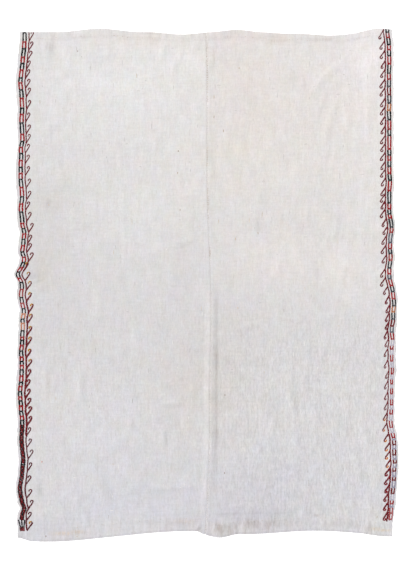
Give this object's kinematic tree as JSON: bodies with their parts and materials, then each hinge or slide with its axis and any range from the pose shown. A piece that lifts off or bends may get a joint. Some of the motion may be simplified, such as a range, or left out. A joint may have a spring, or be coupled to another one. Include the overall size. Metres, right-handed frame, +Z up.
{
  "type": "kilim rug",
  "caption": "Flat-woven ivory rug of plain panels sewn side by side, with hemmed ends and a narrow ladder and hook border along each long side.",
  "frame": {"origin": "on the floor plane, under the middle of the rug's outline", "axes": "+X across the rug, to the right as it is seen from above; +Y along the rug, towards its top end; +Z up from the floor"},
  "size_m": [1.7882, 2.392, 0.0117],
  "materials": {
    "ivory_cloth": "matte, hand-spun plain weave, faintly streaked and stained with age",
    "dyed_yarn": "matte dyed wool, wrapped into the cloth in black, red, maroon, grey, salmon and orange"
  },
  "bodies": {
    "root": {"left_panel": "ivory_cloth", "right_panel": "ivory_cloth"}
  },
  "joints": []
}
